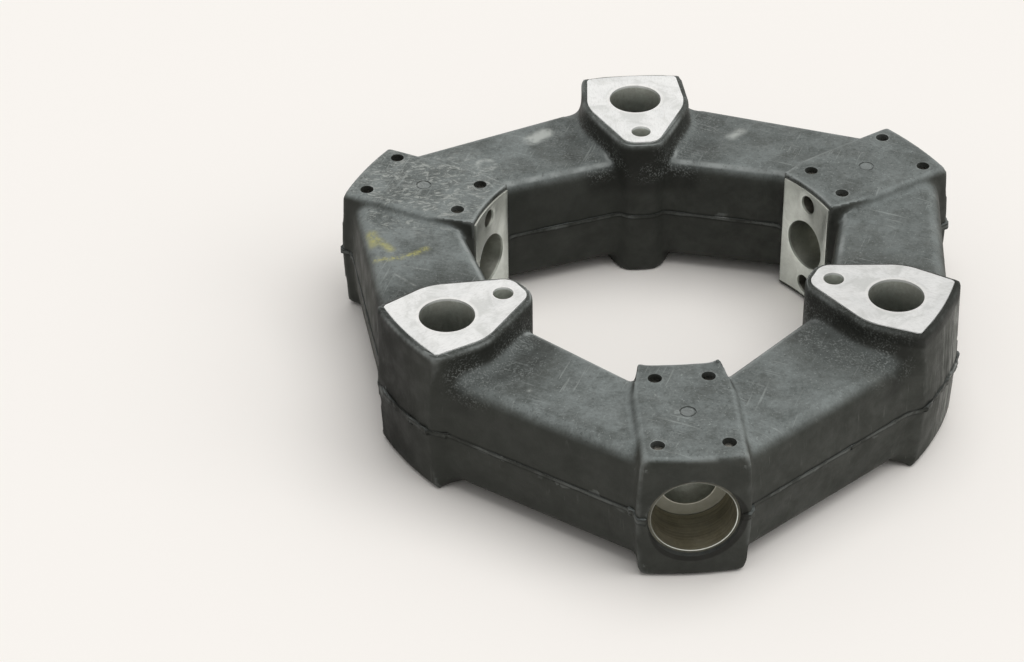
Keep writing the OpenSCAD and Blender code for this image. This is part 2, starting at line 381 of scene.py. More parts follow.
def insert_beds():
    """What the inserts take up in the rubber, with their holes closed."""
    beds = []
    for number in INSERT_NUMBERS:
        for kind in ("axial", "radial"):
            bed = merged_copy(f"{kind}_insert_{number}", "bed")
            whole_mesh_in_edit(bed)
            bpy.ops.mesh.convex_hull()
            leave_edit()
            beds.append(bed)
    return joined(beds, "beds")


def round_holes():
    """The mouths over the counterbores, the mould-pin holes and the ejector marks."""
    holes = []
    for angle in AXIAL_ANGLES:
        low, high = (turned(angle, BOLT_R, 0, z) for z in (FLOOR_Z - PAST, FLOOR_Z + MOUTH_DEEP))
        holes.append(rod(MOUTH_R, low, high))
    for angle in RADIAL_ANGLES:
        start, end = (turned(angle, r, 0, MID_Z) for r in (INSERT_END_R - PAST, MOUTH_FACE + 2 * PAST))
        holes.append(rod(MOUTH_NARROW_R, start, end, 128, MOUTH_WIDE_R))
        for low, high in zip(pin_places(angle, FLOOR_Z - PAST), pin_places(angle, BLOCK_TOP + PAST)):
            holes.append(rod(PIN_R, low, high, 40))
        low, high = (turned(angle, EJECTOR_AT, 0, z) for z in (BLOCK_TOP - EJECTOR_DEEP, BLOCK_TOP + PAST))
        holes.append(rod(EJECTOR_R, low, high, 40))
    return joined(holes, "holes")


def ejector_grooves():
    """The fine grooves round the ejector marks."""
    grooves = []
    for angle in RADIAL_ANGLES:
        bpy.ops.object.select_all(action="DESELECT")
        bpy.ops.mesh.primitive_torus_add(
            location=turned(angle, EJECTOR_AT, 0, BLOCK_TOP - EJECTOR_DEEP / 2),
            major_radius=EJECTOR_R,
            minor_radius=GROOVE_R,
            major_segments=48,
            minor_segments=12,
        )
        grooves.append(settled())
    return joined(grooves, "grooves")


def trim_lips(lump):
    """Takes the rubber back behind the bare faces of the inserts."""
    hub = rod(HUB_R + LIP_BACK, Vector((0, 0, FLOOR_Z - PAST)), Vector((0, 0, PAST)), 360)
    wedges = [box(turned(angle, HUB_R, 0, MID_Z), WEDGE_SIZE, angle) for angle in RADIAL_ANGLES]
    combine(hub, joined(wedges, "wedges"), "INTERSECT")
    combine(lump, hub, "DIFFERENCE")
    combine(lump, box((0, 0, TOP_CUT_SIZE[2] / 2 - LIP_BACK), TOP_CUT_SIZE), "DIFFERENCE")


def rubber_ring():
    """The ring, rounded as one lump with its inserts in it and then cut open for them again."""
    lump = rubber_lump()
    round_off(lump)
    triangles = sum(len(face.vertices) - 2 for face in lump.data.polygons)
    with_modifier(lump, "DECIMATE", ratio=min(1.0, RUBBER_TRIANGLES / triangles))
    flash_line(lump)
    for tool in (insert_beds, round_holes, ejector_grooves):
        combine(lump, tool(), "DIFFERENCE")
    trim_lips(lump)
    dress(lump, "rubber_ring", rubber_finish(), sharp_angle=40)


# The aluminium inserts
def insert_piece(node, finish, edge):
    """A CAD insert with its edges broken by the given width."""
    piece = merged_copy(node, node + "_machined")
    whole_mesh_in_edit(piece)
    bpy.ops.mesh.dissolve_limited(angle_limit=math.radians(0.5))
    leave_edit()
    with_modifier(
        piece,
        "BEVEL",
        width=edge,
        segments=2,
        limit_method="ANGLE",
        angle_limit=math.radians(40),
        use_clamp_overlap=True,
    )
    dress(piece, node, finish, sharp_angle=35)


# Building blocks for materials
def feed(tree, socket, value):
    """Links a socket to another one, or sets its value."""
    if isinstance(value, bpy.types.NodeSocket):
        tree.links.new(value, socket)
    else:
        socket.default_value = value


def add_node(tree, kind, inputs=(), **settings):
    """A shader node, with each of its inputs either linked to a socket or set to a value."""
    made = tree.nodes.new("ShaderNode" + kind)
    for key, value in settings.items():
        setattr(made, key, value)
    for key, value in dict(inputs).items():
        feed(tree, made.inputs[key], value)
    return made


def maths(tree, operation, first, second=0.0):
    return add_node(tree, "Math", {0: first, 1: second}, operation=operation).outputs[0]


def chained(tree, operation, values):
    """Several values taken together, one after another, by one operation."""
    total = values[0]
    for value in values[1:]:
        total = maths(tree, operation, total, value)
    return total


def any_of(tree, *masks):
    """The strongest of several masks."""
    return chained(tree, "MAXIMUM", masks)


def all_of(tree, *masks):
    """Masks multiplied together."""
    return chained(tree, "MULTIPLY", masks)


def rise(tree, value, start, end, low=0.0, high=1.0):
    """Goes smoothly from low to high while a value goes from start to end."""
    sockets = {"Value": value, "From Min": start, "From Max": end, "To Min": low, "To Max": high}
    return add_node(tree, "MapRange", sockets, interpolation_type="SMOOTHSTEP").outputs["Result"]


def eased(tree, mask, strength):
    """A mask with soft ends and the given strength."""
    return rise(tree, mask, 0.0, 1.0, 0.0, strength)


def blend(tree, share, under, over):
    """One colour laid over another."""
    sockets = {0: share, 6: under, 7: over}
    return add_node(tree, "Mix", sockets, data_type="RGBA", blend_type="MIX").outputs[2]


def scaled_noise(tree, place, scale, detail, rough, warp=0.0):
    sockets = {"Vector": place, "Scale": scale, "Detail": detail, "Roughness": rough, "Distortion": warp}
    return add_node(tree, "TexNoise", sockets).outputs["Fac"]


def noise(tree, place, size, detail=3.0, rough=0.55, warp=0.0):
    """Soft noise with patches of about the given size."""
    return scaled_noise(tree, place, 1 / size, detail, rough, warp)


def mapped(tree, place, shift=(0, 0, 0), turn=(0, 0, 0), scale=(1, 1, 1)):
    sockets = {"Vector": place, "Location": shift, "Rotation": turn, "Scale": scale}
    return add_node(tree, "Mapping", sockets).outputs["Vector"]


def streaky_noise(tree, place, stretch, turn=0.0, detail=6.0, rough=0.75, warp=0.0):
    """Noise with its own number of patches to the metre along each axis."""
    return scaled_noise(tree, mapped(tree, place, turn=(0, 0, turn), scale=stretch), 1.0, detail, rough, warp)


def parts_of(tree, vector):
    return add_node(tree, "SeparateXYZ", {"Vector": vector}).outputs


def along_block(tree, place, angle):
    """Places turned about the axis, so that the first part runs out along a block's own radius."""
    return mapped(tree, place, turn=(0, 0, -math.radians(angle)))


def length_of(tree, first, second):
    """The length of a step of two parts at right angles."""
    squares = [maths(tree, "MULTIPLY", part, part) for part in (first, second)]
    return maths(tree, "SQRT", maths(tree, "ADD", *squares))


def reach_from(tree, place, middle):
    """The distance from a spot, seen from above."""
    along, beside, _ = parts_of(tree, mapped(tree, place, (-middle.x, -middle.y, 0)))
    return length_of(tree, along, beside)


def dot(tree, place, middle, radius, soft):
    """A round mask, seen from above."""
    return rise(tree, reach_from(tree, place, middle), radius + soft, radius - soft)


def stroke(tree, place, start, end, half_width, soft):
    """A mask along a straight line between two places, seen from above."""
    way = end - start
    angle = math.atan2(way.y, way.x)
    middle = Matrix.Rotation(-angle, 3, "Z") @ ((start + end) / 2)
    along, beside, _ = parts_of(tree, mapped(tree, place, (-middle.x, -middle.y, 0), (0, 0, -angle)))
    past = maths(tree, "SUBTRACT", maths(tree, "ABSOLUTE", along), way.length / 2)
    reach = length_of(tree, maths(tree, "MAXIMUM", past, 0.0), beside)
    return rise(tree, reach, half_width + soft, half_width - soft)


def at_top(x, y):
    """A place on the top of the ring, given in millimetres."""
    return Vector((x, y, 0)) * MM


def new_group(name, inputs, outputs):
    """A node group with its named inputs and outputs."""
    tree = bpy.data.node_groups.new(name, "ShaderNodeTree")
    for label, kind in inputs.items():
        tree.interface.new_socket(label, in_out="INPUT", socket_type="NodeSocket" + kind)
    for label, kind in outputs.items():
        tree.interface.new_socket(label, in_out="OUTPUT", socket_type="NodeSocket" + kind)
    return tree, tree.nodes.new("NodeGroupInput").outputs, tree.nodes.new("NodeGroupOutput").inputs


def placed(tree, group, **values):
    """A node group placed in a material, with its inputs given by name."""
    made = tree.nodes.new("ShaderNodeGroup")
    made.node_tree = group
    for label, value in values.items():
        feed(tree, made.inputs[label.capitalize()], value)
    return made.outputs[0]


# Effects that several materials share
def smudge_group():
    """Cloudy patches with smaller blots in them, as handling and storage leave."""
    tree, given, out = new_group("smudges", {"Place": "Vector", "Size": "Float"}, {"Mask": "Float"})
    scale = maths(tree, "DIVIDE", 1.0, given["Size"])
    broad = scaled_noise(tree, given["Place"], scale, 6.0, 0.62, 0.6)
    small = scaled_noise(tree, given["Place"], maths(tree, "MULTIPLY", scale, 5.0), 4.0, 0.7)
    mixed = maths(tree, "ADD", maths(tree, "MULTIPLY", broad, 0.7), maths(tree, "MULTIPLY", small, 0.3))
    tree.links.new(rise(tree, mixed, 0.36, 0.66), out["Mask"])
    return tree


def scratch_group():
    """Sparse thin lines that run roughly along one way."""
    tree, given, out = new_group("scratches", {"Place": "Vector", "Stretch": "Vector"}, {"Mask": "Float"})
    made = add_node(tree, "VectorMath", {0: given["Place"], 1: given["Stretch"]}, operation="MULTIPLY")
    lines = scaled_noise(tree, made.outputs[0], 1.0, 2.0, 0.6, 0.3)
    here = noise(tree, given["Place"], 9 * MM, 2.0)
    tree.links.new(all_of(tree, rise(tree, lines, 0.6, 0.72), rise(tree, here, 0.45, 0.65)), out["Mask"])
    return tree


def grain_group():
    """The fine unevenness of a surface, as a height."""
    tree, given, out = new_group("grain", {"Place": "Vector", "Size": "Float"}, {"Height": "Float"})
    scale = maths(tree, "DIVIDE", 1.0, given["Size"])
    fine = scaled_noise(tree, given["Place"], scale, 5.0, 0.65)
    wavy = scaled_noise(tree, given["Place"], maths(tree, "MULTIPLY", scale, 0.09), 2.0, 0.5)
    tree.links.new(maths(tree, "ADD", fine, maths(tree, "MULTIPLY", wavy, 3.0)), out["Height"])
    return tree


SMUDGES = smudge_group()
SCRATCHES = scratch_group()
GRAIN = grain_group()


def new_material(name):
    material = bpy.data.materials.new(name)
    material.use_nodes = True
    tree = material.node_tree
    return material, tree, tree.nodes["Principled BSDF"]


def object_place(tree):
    return add_node(tree, "TexCoord").outputs["Object"]


def roughen(tree, surface, height, strength, depth):
    """Gives a surface a bump of the given depth."""
    bump = add_node(tree, "Bump", {"Height": height, "Strength": strength, "Distance": depth})
    tree.links.new(bump.outputs["Normal"], surface.inputs["Normal"])


def to_low_right(tree, beside, up):
    """How far a place lies towards the lower right of a hole."""
    return maths(tree, "SUBTRACT", maths(tree, "MULTIPLY", beside, 0.6), up)


# Colours of the rubber, among them the darks of painted shade and the greys of painted highlights
RUBBER_BLACK = (0.031, 0.0332, 0.0285, 1)
RUBBED_AND_LIT_BLACK = (0.056, 0.059, 0.052, 1)
DEEP_SHADE_BLACK = (0.006, 0.0065, 0.0052, 1)
CREASE_SHADE_BLACK = (0.016, 0.017, 0.015, 1)
LIP_BLACK = (0.010, 0.011, 0.009, 1)
PIT_BLACK = (0.026, 0.028, 0.025, 1)
SEAM_SHADE_BLACK = (0.012, 0.013, 0.011, 1)
MOUTH_SHADE_AND_DIRT_BLACK = (0.012, 0.012, 0.010, 1)
SCUFF_GREY = (0.16, 0.166, 0.150, 1)
STREAK_GREY = (0.30, 0.305, 0.285, 1)
BLOOM_GREY = (0.199, 0.220, 0.214, 1)
WRINKLE_GREY = (0.37, 0.385, 0.36, 1)
NICK_GREY = (0.36, 0.385, 0.37, 1)
BEAD_HIGHLIGHT_GREY = (0.30, 0.32, 0.31, 1)
EDGE_HIGHLIGHT_GREY = (0.31, 0.33, 0.32, 1)
DUST_GREY = (0.22, 0.235, 0.225, 1)
DISC_GREY = (0.27, 0.285, 0.28, 1)
MARK_GREY = (0.5, 0.52, 0.49, 1)
CHALK_YELLOW = (0.5, 0.47, 0.13, 1)


def rubber_spot(tree):
    """What the effects on the rubber go by: the place, the way it faces and the bend of the surface."""
    coords = add_node(tree, "TexCoord").outputs
    place = coords["Object"]
    x, y, z = parts_of(tree, place)
    up = parts_of(tree, coords["Normal"])[2]
    outward = add_node(tree, "VectorMath", {0: coords["Normal"], 1: place}, operation="DOT_PRODUCT")
    from_blocks = [reach_from(tree, place, turned(angle, AXIAL_MIDDLE_R)) for angle in AXIAL_ANGLES]
    return SimpleNamespace(
        place=place,
        x=x,
        y=y,
        z=z,
        up=up,
        facing_up=rise(tree, up, 0.6, 0.95),
        outward=outward.outputs["Value"],
        from_axis=length_of(tree, x, y),
        from_axial=chained(tree, "MINIMUM", from_blocks),
        bend=add_node(tree, "NewGeometry").outputs["Pointiness"],
    )


def rubber_with_painted_side_light(tree, at):
    """Black rubber: rubbed and scuffed on the right, where painted light also lightens it, and painted darker
    at the left and on the axial blocks' flanks as painted shade.
    """
    # Rubbed smudges laid on more heavily towards the right: real rubbing, with painted light from the right
    # on top
    rubbed_and_lit_right = all_of(
        tree,
        placed(tree, SMUDGES, place=at.place, size=9 * MM),
        rise(tree, at.x, -70 * MM, 70 * MM, 0.2, 0.9),
    )
    colour = blend(tree, rubbed_and_lit_right, RUBBER_BLACK, RUBBED_AND_LIT_BLACK)
    scuffs = all_of(
        tree,
        placed(tree, SCRATCHES, place=at.place, stretch=(1100, 1100, 60)),
        rise(tree, at.x, -10 * MM, 70 * MM, 0.2, 0.9),
        rise(tree, at.y, 20 * MM, 0.0, 0.1, 1.0),
    )
    colour = blend(tree, scuffs, colour, SCUFF_GREY)
    # Painted shade: the far left of the ring is darkened as if the light fell from the right
    far_left_shade = all_of(tree, rise(tree, at.x, -56 * MM, -70 * MM), rise(tree, at.y, -4 * MM, -14 * MM))
    colour = blend(tree, eased(tree, far_left_shade, 0.9), colour, DEEP_SHADE_BLACK)
    # Painted shade on the axial blocks' flanks above the legs
    flank_shade = all_of(
        tree,
        rise(tree, at.z, -17 * MM, -13 * MM),
        rise(tree, at.z, -0.8 * MM, -2.5 * MM),
        rise(tree, at.from_axial, 25 * MM, 22 * MM),
        rise(tree, at.from_axis, 75 * MM, 71 * MM, 0.0, 0.5),
    )
    return blend(tree, flank_shade, colour, DEEP_SHADE_BLACK)


def streaked(tree, at, colour):
    """Pale upright streaks on the outer face of the right axial block."""
    streaks = all_of(
        tree,
        rise(tree, streaky_noise(tree, at.place, (800, 800, 60), warp=0.5), 0.42, 0.66),
        rise(tree, noise(tree, at.place, 8 * MM, 4.0), 0.3, 0.6, 0.35, 1.0),
        rise(tree, at.x, 61 * MM, 70 * MM),
        rise(tree, at.y, -8 * MM, -18 * MM),
        rise(tree, at.z, -1.5 * MM, -4 * MM),
    )
    return blend(tree, streaks, colour, STREAK_GREY)


def bloomed(tree, at, colour):
    """The grey bloom on what faces up: cloudy, heavier on worn edges and thin by the axial blocks."""
    worn = all_of(tree, rise(tree, at.up, 0.997, 0.95), rise(tree, at.up, 0.55, 0.85), 0.2)
    cover = chained(tree, "ADD", [
        eased(tree, placed(tree, SMUDGES, place=at.place, size=17 * MM), 0.36),
        rise(tree, noise(tree, at.place, 0.7 * MM, 3.0, 0.7), 0.3, 0.7, 0.25, 0.47),
        eased(tree, placed(tree, SMUDGES, place=mapped(tree, at.place, (0.5, 0, 0)), size=4.5 * MM), 0.22),
        worn,
    ])
    rim = all_of(tree, rise(tree, at.z, -6.5 * MM, -4 * MM), rise(tree, at.from_axial, 27 * MM, 25 * MM))
    by_block = rise(tree, at.y, -10 * MM, 30 * MM, 0.42, 0.72)
    cover = all_of(
        tree,
        cover,
        rise(tree, rim, 0.0, 1.0, 1.0, 0.3),
        rise(tree, at.from_axial, 20 * MM, 33 * MM, by_block, 1.04),
        rise(tree, at.x, 80 * MM, -80 * MM, 0.88, 1.1),
        rise(tree, at.up, 0.3, 0.9),
    )
    return blend(tree, cover, colour, BLOOM_GREY)


def wrinkled(tree, at, colour):
    """The pale wrinkled skin on the top of one radial block."""
    middle = turned(RADIAL_ANGLES[0], 66 * MM)
    on_block = stroke(tree, at.place, middle - at_top(4, 0), middle + at_top(4, 0), 17 * MM, 8 * MM)
    folds = streaky_noise(tree, at.place, (330, 620, 300), turn=0.6, rough=0.72, warp=1.6)
    mask = all_of(tree, rise(tree, folds, 0.49, 0.64, 0.0, 0.9), on_block, at.facing_up)
    return blend(tree, mask, colour, WRINKLE_GREY)


def nicked(tree, at, colour):
    """Fine pale nicks and scratches on what faces up."""
    spots = noise(tree, mapped(tree, at.place, (0.2, 0.7, 0)), 0.6 * MM, 2.0)
    nicks = [rise(tree, spots, 0.64, 0.7)]
    for turn in (0.5, 2.0):
        way = mapped(tree, at.place, turn=(0, 0, turn))
        nicks.append(placed(tree, SCRATCHES, place=way, stretch=(80, 1500, 80)))
    return blend(tree, all_of(tree, any_of(tree, *nicks), at.facing_up, 0.4), colour, NICK_GREY)


def painted_shade_and_edge_highlights(tree, at, colour):
    """Painted shade in the creases, painted highlights along the edges, and the dark lip round the right
    axial face.
    """
    # Painted shade in the inside corners, found by their low pointiness
    crease_shade = all_of(
        tree,
        rise(tree, at.bend, 0.492, 0.45, 0.0, 0.65),
        rise(tree, at.from_axial, 26 * MM, 32 * MM),
    )
    colour = blend(tree, crease_shade, colour, CREASE_SHADE_BLACK)
    # Painted highlight along the outer edges, found by their high pointiness
    bead_highlight = all_of(
        tree,
        rise(tree, at.bend, 0.505, 0.55),
        rise(tree, noise(tree, at.place, 9 * MM, 4.0, 0.6), 0.38, 0.62, 0.0, 0.55),
        rise(tree, at.up, -0.2, 0.7, 0.3, 1.0),
    )
    colour = blend(tree, bead_highlight, colour, BEAD_HIGHLIGHT_GREY)
    # Painted highlight along the inner top edges of the legs
    inner_edge_highlight = all_of(
        tree,
        rise(tree, at.up, 0.68, 0.8),
        rise(tree, at.up, 0.95, 0.85),
        rise(tree, at.outward, -12 * MM, -22 * MM),
        rise(tree, noise(tree, at.place, 6 * MM, 4.0), 0.34, 0.6, 0.25, 0.95),
    )
    colour = blend(tree, inner_edge_highlight, colour, EDGE_HIGHLIGHT_GREY)
    lip = all_of(tree, rise(tree, at.z, -4.4 * MM, -3.0 * MM), rise(tree, at.x, 20 * MM, 55 * MM, 0.0, 0.75))
    return blend(tree, lip, colour, LIP_BLACK)


def pitted(tree, at, colour):
    """Small dark pits all over, and pale dust where the legs run into the axial blocks."""
    pits = all_of(
        tree,
        rise(tree, noise(tree, at.place, 0.9 * MM, 3.0, 0.6), 0.58, 0.68, 0.0, 0.4),
        rise(tree, noise(tree, at.place, 14 * MM), 0.38, 0.62, 0.25, 1.0),
    )
    colour = blend(tree, pits, colour, PIT_BLACK)
    specks = noise(tree, mapped(tree, at.place, (0.3, 0.1, 0)), 0.5 * MM, 3.0, 0.65)
    dust = all_of(
        tree,
        rise(tree, specks, 0.5, 0.64, 0.0, 0.6),
        rise(tree, at.z, -13 * MM, -9.5 * MM),
        rise(tree, at.z, -3.5 * MM, -6.5 * MM, 0.45, 1.0),
        rise(tree, at.from_axial, 28 * MM, 21 * MM),
        rise(tree, at.from_axis, 75 * MM, 71 * MM),
        rise(tree, noise(tree, at.place, 7 * MM), 0.36, 0.56),
    )
    return blend(tree, dust, colour, DUST_GREY)


def mouth_edges_shade_and_dirt(tree, place):
    """The dark inner edges of the round mouths, widest towards the lower right: partly painted shade in the
    hollow, partly dark oily dirt.
    """
    masks = []
    for angle in RADIAL_ANGLES:
        out, beside, z = parts_of(tree, along_block(tree, place, angle))
        up = maths(tree, "SUBTRACT", z, MID_Z)
        edge = rise(tree, to_low_right(tree, beside, up), -6 * MM, 8 * MM, 11.4 * MM, 13.0 * MM)
        within = rise(tree, maths(tree, "SUBTRACT", edge, length_of(tree, beside, up)), 0.0, 0.8 * MM)
        masks.append(all_of(tree, within, rise(tree, out, 70 * MM, 72 * MM)))
    return any_of(tree, *masks)


def ejector_discs(tree, place):
    """The smooth lighter discs of the ejector marks."""
    middles = [turned(angle, EJECTOR_AT) for angle in RADIAL_ANGLES]
    return any_of(tree, *[dot(tree, place, middle, EJECTOR_R - 0.4 * MM, 0.3 * MM) for middle in middles])


def mould_marks_and_painted_shade(tree, at, colour):
    """Painted shade in the crevices along the seam, the mouths' dark edges (partly painted shade, partly
    dirt) and the ejector marks.
    """
    from_seam = maths(tree, "ABSOLUTE", maths(tree, "SUBTRACT", at.z, MID_Z))
    # Painted shade in the crevices just above and below the flash line
    seam_shade = all_of(
        tree,
        rise(tree, from_seam, 0.25 * MM, 0.4 * MM),
        rise(tree, from_seam, 1.3 * MM, 0.5 * MM),
    )
    colour = blend(tree, eased(tree, seam_shade, 0.6), colour, SEAM_SHADE_BLACK)
    # The mouths' edges darkened, partly as painted shade and partly as dirt
    colour = blend(tree, eased(tree, mouth_edges_shade_and_dirt(tree, at.place), 0.85), colour, MOUTH_SHADE_AND_DIRT_BLACK)
    return blend(tree, eased(tree, ejector_discs(tree, at.place), 0.35), colour, DISC_GREY)


def pale_lines(tree, place):
    """Thin rubbed lines and a faint ring on the tops of the legs, each with its half width and softness."""
    lines = (
        (at_top(-69.6, 3.6), at_top(-69.4, 3.8), 0.4, 0.4),
        (at_top(-66.0, -3.0), at_top(-61.0, -8.5), 0.1, 0.5),
        (at_top(-64.0, 0.5), at_top(-57.5, -2.0), 0.1, 0.4),
        (at_top(-6.4, -60.6), at_top(-7.4, -58.4), 0.1, 0.2),
        (at_top(-36.0, -53.0), at_top(-35.0, -52.0), 0.2, 0.9),
    )
    masks = [stroke(tree, place, start, end, half * MM, soft * MM) for start, end, half, soft in lines]
    ring_middle = at_top(-40.7, 44.6)
    disc = dot(tree, place, ring_middle, 2.9 * MM, 0.6 * MM)
    hollow = dot(tree, place, ring_middle, 1.6 * MM, 0.8 * MM)
    masks.append(maths(tree, "SUBTRACT", disc, hollow))
    broken = rise(tree, noise(tree, place, 2.6 * MM, 6.0, 0.75, 0.8), 0.38, 0.66, 0.0, 0.6)
    return all_of(tree, any_of(tree, *masks), broken)


def pale_patches(tree, place):
    """Wider rubbed patches on the tops of the back legs."""
    patches = any_of(
        tree,
        stroke(tree, place, at_top(-28.0, 55.6), at_top(-24.2, 58.8), 2.0 * MM, 1.2 * MM),
        stroke(tree, place, at_top(24.7, 53.0), at_top(27.7, 55.8), 0.9 * MM, 1.4 * MM),
        stroke(tree, place, at_top(19.0, 36.8), at_top(23.0, 37.6), 0.7 * MM, 1.1 * MM),
    )
    uneven = rise(tree, noise(tree, place, 3.5 * MM, 5.0, 0.6, 0.4), 0.32, 0.6, 0.2, 0.75)
    return all_of(tree, patches, uneven)


def chalk_smear(tree, place):
    """The yellow smear on the top of one leg: a rubbed blot and a faint wiped curve beside it."""
    blot = any_of(
        tree,
        stroke(tree, place, at_top(-71.9, 14.8), at_top(-71.0, 11.4), 1.3 * MM, 1.8 * MM),
        stroke(tree, place, at_top(-70.4, 13.0), at_top(-66.8, 7.8), 0.6 * MM, 1.4 * MM),
    )
    torn = rise(tree, noise(tree, place, 2.4 * MM, 6.0, 0.75, 0.6), 0.28, 0.6, 0.1, 0.75)
    bends = ((-71.0, 4.6), (-69.0, 3.5), (-64.5, 4.0), (-61.0, 5.3), (-57.8, 7.4))
    curve = [at_top(x, y) for x, y in bends]
    wiped = [stroke(tree, place, *ends, 0.5 * MM, 1.2 * MM) for ends in zip(curve, curve[1:])]
    thin = rise(tree, noise(tree, place, 1.1 * MM, 5.0, 0.75, 0.5), 0.40, 0.62, 0.0, 0.8)
    return any_of(tree, all_of(tree, blot, torn), all_of(tree, any_of(tree, *wiped), thin))


def handled(tree, at, colour):
    """Pale rubbed marks and yellow chalk on what faces up."""
    marks = any_of(tree, pale_lines(tree, at.place), pale_patches(tree, at.place))
    colour = blend(tree, all_of(tree, marks, at.facing_up), colour, MARK_GREY)
    chalk = all_of(tree, chalk_smear(tree, at.place), at.facing_up)
    return blend(tree, chalk, colour, CHALK_YELLOW)


def rubber_finish():
    """Black moulded rubber with a grey bloom, wear, dirt, painted shade and painted highlights laid over it
    one after another.
    """
    material, tree, surface = new_material("moulded_rubber")
    at = rubber_spot(tree)
    colour = rubber_with_painted_side_light(tree, at)
    for layer in (streaked, bloomed, wrinkled, nicked, painted_shade_and_edge_highlights, pitted, mould_marks_and_painted_shade, handled):
        colour = layer(tree, at, colour)
    tree.links.new(colour, surface.inputs["Base Color"])
    rough = rise(tree, noise(tree, at.place, 6 * MM, 4.0), 0.3, 0.7, 0.52, 0.74)
    tree.links.new(rough, surface.inputs["Roughness"])
    surface.inputs["Specular IOR Level"].default_value = 0.2
    roughen(tree, surface, placed(tree, GRAIN, place=at.place, size=0.7 * MM), 0.6, 0.09 * MM)
    return material


# Colours of the aluminium
STAIN_BROWN = (0.21, 0.205, 0.17, 1)
LINE_GREY = (0.62, 0.625, 0.62, 1)
AXIAL_HOLE_GREY = (0.66, 0.69, 0.66, 1)
SEAT_GREY = (0.79, 0.83, 0.785, 1)
SMUDGED_SEAT_GREY = (0.65, 0.68, 0.64, 1)
SEAT_LINE_GREY = (0.9, 0.9, 0.87, 1)
BORE_GREY = (0.47, 0.49, 0.455, 1)
WALL_BROWN = (0.53, 0.505, 0.415, 1)
RING_BROWN = (0.29, 0.27, 0.21, 1)
CORNER_GREY = (0.26, 0.265, 0.235, 1)
# Painted highlight on the bore's edge
BORE_EDGE_HIGHLIGHT_GREY = (0.55, 0.55, 0.5, 1)
END_BLACK = (0.06, 0.06, 0.05, 1)
DOWEL_HOLE_GREY = (0.15, 0.15, 0.135, 1)
UNDER_PIN_GREY = (0.3, 0.3, 0.28, 1)


def toned(tone, red, green, blue):
    """A colour, darkened by a tone below one."""
    return (red * tone, green * tone, blue * tone, 1)


def metal_finish(tree, surface, place, bare, face, face_rough, inside):
    """A machined face, and the duller metal of the holes and of what the rubber covers."""
    stains = placed(tree, SMUDGES, place=place, size=5 * MM)
    dull = blend(tree, all_of(tree, stains, 0.5), inside, STAIN_BROWN)
    tree.links.new(blend(tree, bare, dull, face), surface.inputs["Base Color"])
    dull_rough = rise(tree, stains, 0.0, 1.0, 0.36, 0.5)
    rough = add_node(tree, "Mix", {0: bare, 2: dull_rough, 3: face_rough}, data_type="FLOAT").outputs[0]
    tree.links.new(rough, surface.inputs["Roughness"])
    surface.inputs["Metallic"].default_value = 1


def axial_face(tree, place, out, beside, smudges, tone):
    """The colour of a milled face: smudged and patchy, with painted highlights round the holes and faint
    lines across it.
    """
    patches = rise(tree, noise(tree, place, 10 * MM, 6.0, 0.68, 0.8), 0.48, 0.66, 0.0, 0.65)
    lines = placed(tree, SCRATCHES, place=place, stretch=(90, 2600, 1))
    grains = noise(tree, mapped(tree, place, scale=(0.35, 1, 1)), 0.5 * MM, 3.0, 0.7)
    by_screw = length_of(tree, maths(tree, "SUBTRACT", out, BOLT_R), beside)
    by_dowel = length_of(tree, maths(tree, "SUBTRACT", out, DOWEL_R), beside)
    # Painted highlights on the chamfered edges round the screw and dowel holes
    rim_highlights = any_of(
        tree,
        rise(tree, by_screw, SCREW_HOLE_R + 1.15 * MM, SCREW_HOLE_R + 0.35 * MM),
        rise(tree, by_dowel, DOWEL_HOLE_R + 0.6 * MM, DOWEL_HOLE_R + 0.2 * MM),
    )
    face = blend(tree, smudges, toned(tone, 0.95, 0.98, 1.0), toned(tone, 0.88, 0.91, 0.93))
    face = blend(tree, patches, face, toned(tone, 0.66, 0.69, 0.69))
    face = blend(tree, eased(tree, rim_highlights, 0.7), face, toned(tone, 0.97, 0.99, 1.0))
    face = blend(tree, rise(tree, grains, 0.45, 0.7, 0.0, 0.42), face, toned(tone, 0.66, 0.68, 0.69))
    return blend(tree, eased(tree, lines, 0.35), face, LINE_GREY)


def axial_finish(number, angle, tone):
    """Bright milled face over plain holes."""
    material, tree, surface = new_material(f"milled_face_{number}")
    place = along_block(tree, object_place(tree), angle)
    out, beside, z = parts_of(tree, place)
    bare = rise(tree, z, -0.9 * MM, -0.5 * MM)
    smudges = placed(tree, SMUDGES, place=place, size=9 * MM)
    face = axial_face(tree, place, out, beside, smudges, tone)
    face_rough = rise(tree, smudges, 0.0, 1.0, 0.34, 0.46)
    metal_finish(tree, surface, place, bare, face, face_rough, AXIAL_HOLE_GREY)
    lengthwise = mapped(tree, place, scale=(0.15, 1, 1))
    roughen(tree, surface, placed(tree, GRAIN, place=lengthwise, size=0.25 * MM), 0.25, 0.01 * MM)
    return material


